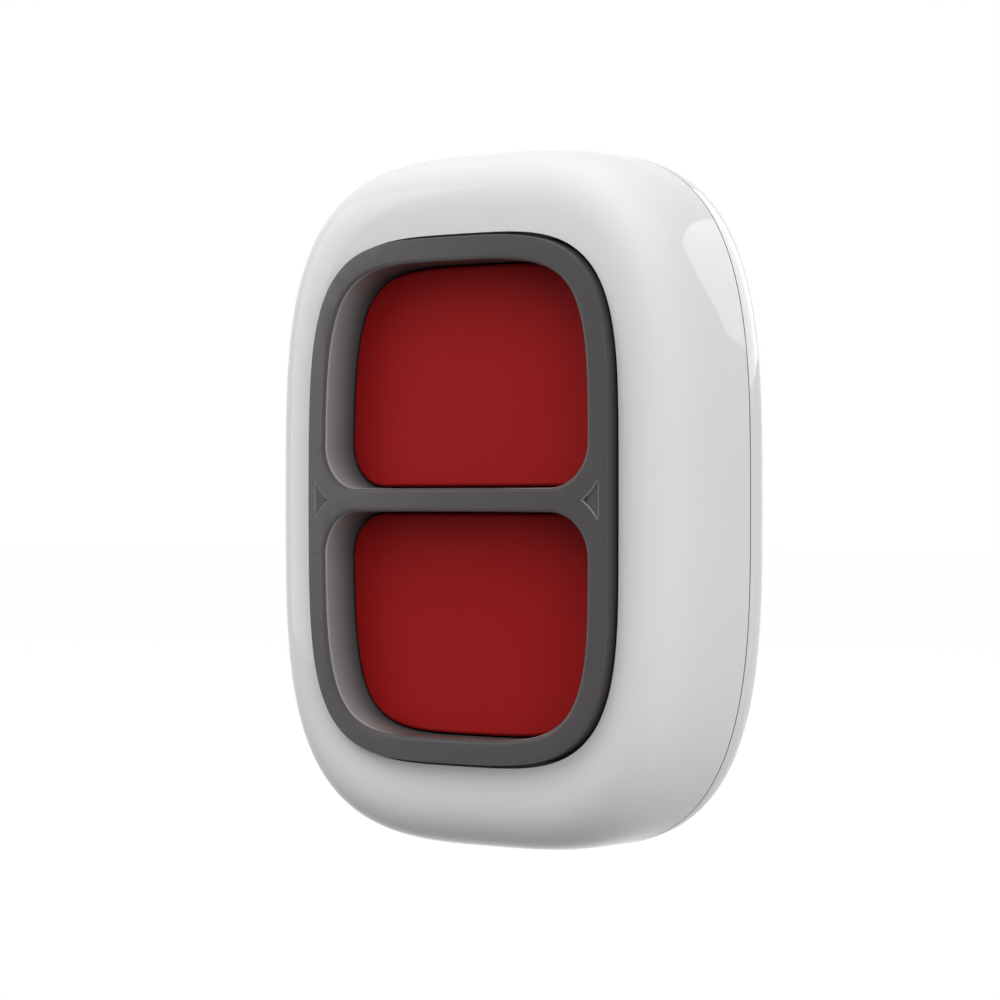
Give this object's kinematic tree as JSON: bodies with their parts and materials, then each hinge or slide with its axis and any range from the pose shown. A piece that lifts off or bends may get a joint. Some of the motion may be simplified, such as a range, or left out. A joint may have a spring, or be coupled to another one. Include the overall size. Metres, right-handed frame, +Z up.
{
  "type": "wireless panic button",
  "caption": "Pocket-size wireless panic button: sprung red buttons recessed in a dark divided bezel, in a white pebble-shaped housing with a snap-fit rear cover.",
  "frame": {"origin": "middle of the flat back face, level with the parting between the two buttons", "axes": "+Z up along the housing's long axis, +Y out of the flat back, and the buttons face -Y; +X is to the right seen from the front"},
  "size_m": [0.035, 0.016, 0.047],
  "materials": {
    "housing_white": "glossy white moulding",
    "bezel_grey": "satin smoked grey moulding",
    "button_red": "matte red moulding",
    "silicone_grey": "matte silicone rubber",
    "frame_black": "matte black moulding",
    "board_green": "solder resist over laminate",
    "chip_black": "moulded package",
    "switch_steel": "thin bright sheet",
    "cell_steel": "nickel-plated can",
    "contact_brass": "plated spring sheet",
    "guide_clear": "clear moulding",
    "lamp_white": "small lamp package",
    "ceramic_tan": "fired body with tinned ends"
  },
  "bodies": {
    "case": {"front_housing": "housing_white", "rear_cover": "housing_white", "cover_gasket": "silicone_grey", "bezel_frame": "bezel_grey", "bezel_seal": "silicone_grey", "button_membrane": "silicone_grey", "inner_frame": "frame_black", "circuit_board": "board_green", "upper_switch_body": "frame_black", "lower_switch_body": "frame_black", "upper_switch_dome": "switch_steel", "lower_switch_dome": "switch_steel", "upper_switch_cover": "switch_steel", "lower_switch_cover": "switch_steel", "left_light_guide": "guide_clear", "right_light_guide": "guide_clear", "left_indicator_lamp": "lamp_white", "right_indicator_lamp": "lamp_white", "coin_cell": "cell_steel", "cell_holder": "frame_black", "positive_contact": "contact_brass", "negative_contact": "contact_brass", "shield_can": "switch_steel", "radio_chip": "chip_black", "crystal": "cell_steel", "controller_chip": "chip_black", "antenna": "contact_brass", "capacitor_1": "ceramic_tan", "capacitor_2": "ceramic_tan", "capacitor_3": "ceramic_tan", "resistor_1": "chip_black", "resistor_2": "chip_black", "resistor_3": "chip_black"},
    "upper_button": {"upper_button_cap": "button_red"},
    "lower_button": {"lower_button_cap": "button_red"},
    "upper_plunger": {"upper_switch_plunger": "frame_black"},
    "lower_plunger": {"lower_switch_plunger": "frame_black"}
  },
  "joints": [
    {"name": "upper_button_press", "type": "slide", "parent": "case", "child": "upper_button", "axis": [0, 1, 0], "range_m": [0, 0.0005], "stiffness_N_per_m": 3000, "springref_m": -0.0002, "deforming": ["button_membrane", "upper_switch_dome"]},
    {"name": "lower_button_press", "type": "slide", "parent": "case", "child": "lower_button", "axis": [0, 1, 0], "range_m": [0, 0.0005], "stiffness_N_per_m": 3000, "springref_m": -0.0002, "deforming": ["button_membrane", "lower_switch_dome"]},
    {"name": "upper_plunger_slide", "type": "slide", "parent": "case", "child": "upper_plunger", "axis": [0, 1, 0], "range_m": [0, 0.0005]},
    {"name": "lower_plunger_slide", "type": "slide", "parent": "case", "child": "lower_plunger", "axis": [0, 1, 0], "range_m": [0, 0.0005]}
  ],
  "couplings": [
    {"joint": "upper_plunger_slide", "follows": "upper_button_press", "ratio": 1},
    {"joint": "lower_plunger_slide", "follows": "lower_button_press", "ratio": 1}
  ]
}
